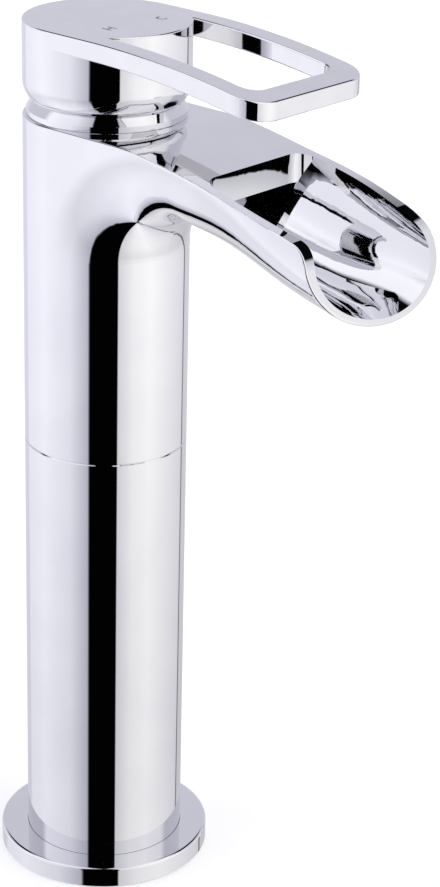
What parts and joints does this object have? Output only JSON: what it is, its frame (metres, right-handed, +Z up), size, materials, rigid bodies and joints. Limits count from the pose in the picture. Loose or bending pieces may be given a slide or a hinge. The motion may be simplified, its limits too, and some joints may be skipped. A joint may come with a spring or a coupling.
{
  "type": "waterfall basin faucet",
  "caption": "Tall single-lever basin mixer: round column, cast body with a wide open trough spout, and a loop lever that tilts and turns over a domed collar.",
  "frame": {"origin": "On the deck plane, at the centre of the foot ring and on the axis of the column.", "axes": "Z is up along the column; the open spout points along -Y; X runs across the spout, with the cold side at +X."},
  "size_m": [0.067, 0.143, 0.274],
  "materials": {
    "chrome": "polished chrome plating on brass",
    "brass": "machined yellow brass, left bare inside",
    "rubber": "black nitrile rubber",
    "copper_pipe": "drawn tube, dull inside the column",
    "ceramic": "lapped alumina ceramic",
    "cartridge_plastic": "off-white glass-filled plastic",
    "limit_plastic": "red plastic",
    "steel": "stainless steel",
    "cap_plastic": "grey cap with a metallic look"
  },
  "bodies": {
    "fixed": {"base_flange": "chrome", "flange_seal": "rubber", "column_tube": "chrome", "base_insert": "brass", "insert_seal": "rubber", "hot_riser_pipe": "copper_pipe", "cold_riser_pipe": "copper_pipe", "riser_seals": "rubber", "joint_sleeve": "brass", "joint_seal": "rubber", "spout_body": "chrome", "cartridge_base": "cartridge_plastic", "port_seals": "rubber", "fixed_ceramic_disc": "ceramic", "cartridge_housing": "cartridge_plastic", "limit_ring": "limit_plastic", "retaining_nut": "brass", "collar_ring": "chrome"},
    "rotor": {"cartridge_rotor": "cartridge_plastic", "stem_pin": "steel"},
    "slider": {"moving_ceramic_disc": "ceramic", "disc_carrier": "cartridge_plastic"},
    "handle": {"handle": "chrome", "cartridge_stem": "steel", "grub_screw": "steel", "screw_plug": "cap_plastic"}
  },
  "joints": [
    {"name": "handle_swivel", "type": "hinge", "parent": "fixed", "child": "rotor", "pos_m": [0, 0, 0.2338], "axis": [0, 0, 1], "range_deg": [-45, 45]},
    {"name": "handle_lift", "type": "hinge", "parent": "rotor", "child": "handle", "pos_m": [0, 0, 0.2338], "axis": [-1, 0, 0], "range_deg": [0, 20]},
    {"name": "disc_slide", "type": "slide", "parent": "rotor", "child": "slider", "axis": [0, -1, 0], "range_m": [0, 0.0043]}
  ],
  "couplings": [
    {"joint": "disc_slide", "follows": "handle_lift", "m_per_rad": 0.0122}
  ]
}
